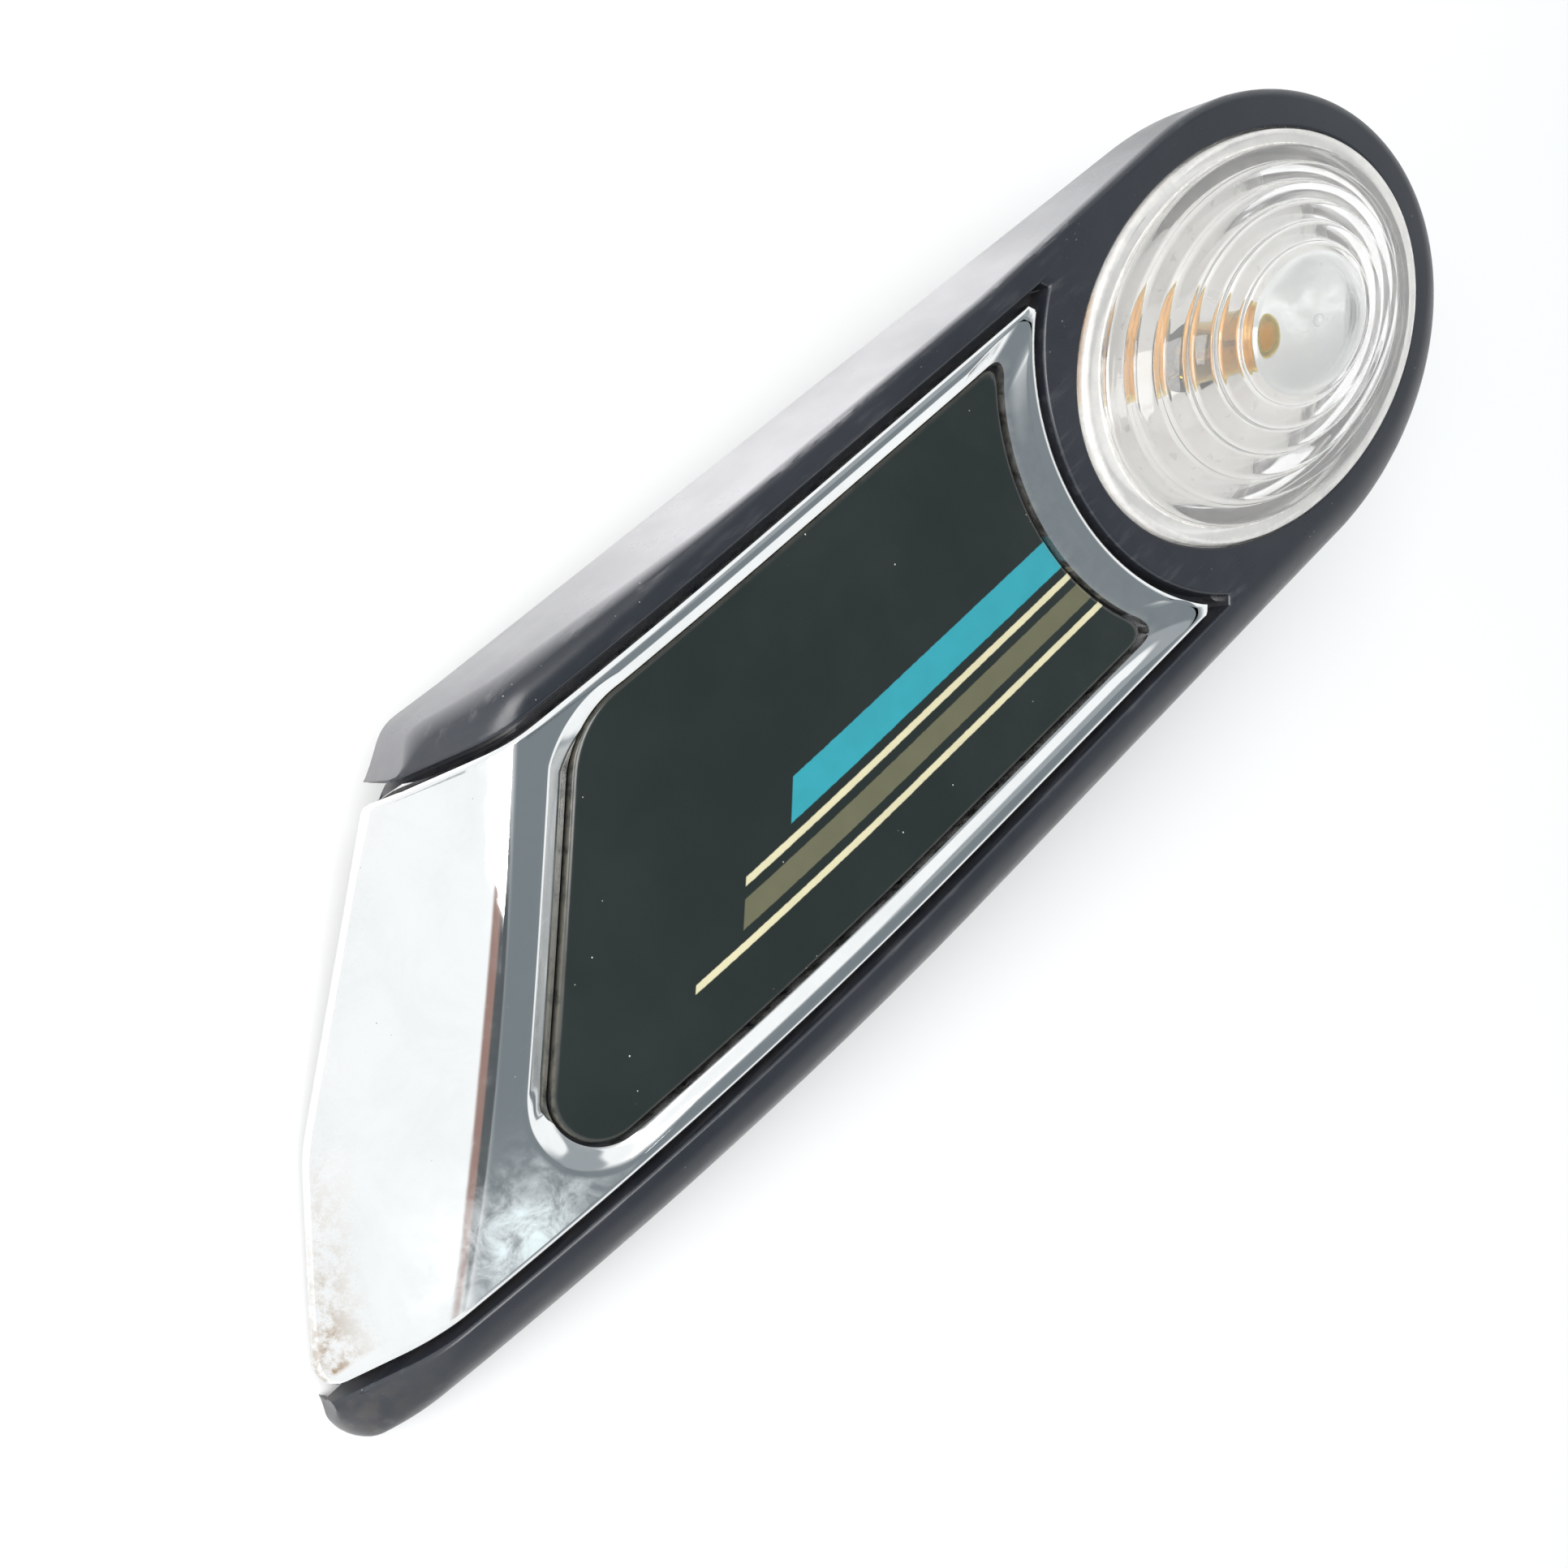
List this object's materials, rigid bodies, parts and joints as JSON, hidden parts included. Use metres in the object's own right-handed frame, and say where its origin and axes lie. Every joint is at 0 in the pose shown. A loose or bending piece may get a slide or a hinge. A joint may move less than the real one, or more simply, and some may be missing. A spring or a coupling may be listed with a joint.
{
  "type": "vehicle indicator lamp",
  "caption": "Long fender side-repeater trim with a clear oval stepped lens over an amber bulb, a bright plated surround and a dark inlay plate.",
  "frame": {"origin": "midway between the two locating studs, in the plane of their shoulders", "axes": "+Z out of the visible face, +X towards the lens end, +Y towards the upper rim"},
  "size_m": [0.2081, 0.0596, 0.0568],
  "materials": {
    "black_plastic": "satin moulded black",
    "plated_trim": "bright plated plastic",
    "inlay_print": "printed plate under a clear coat",
    "tape": "adhesive foam",
    "clear_lens": "clear moulded plastic",
    "gasket": "foam rubber",
    "housing_plastic": "moulded",
    "reflector_metal": "vapour-coated",
    "amber_glass": "amber glass",
    "tungsten": "coiled wire",
    "lead_wire": "drawn wire",
    "holder_plastic": "moulded",
    "seal_rubber": "moulded rubber",
    "contact_brass": "stamped strip",
    "screw_steel": "zinc plated",
    "spring_steel": "stamped",
    "clip_steel": "folded strip",
    "seal_foam": "foam"
  },
  "bodies": {
    "root": {"carrier": "black_plastic", "trim_frame": "plated_trim", "inlay": "inlay_print", "inlay_tape": "tape", "lens": "clear_lens", "lens_gasket": "gasket", "lamp_housing": "housing_plastic", "reflector": "reflector_metal", "bulb_glass": "amber_glass", "bulb_filament": "tungsten", "bulb_leads": "lead_wire", "bulb_holder": "holder_plastic", "holder_seal": "seal_rubber", "terminals": "contact_brass", "lamp_screws": "screw_steel", "push_nuts": "spring_steel", "fender_clips": "clip_steel", "edge_seals": "seal_foam"}
  },
  "joints": []
}
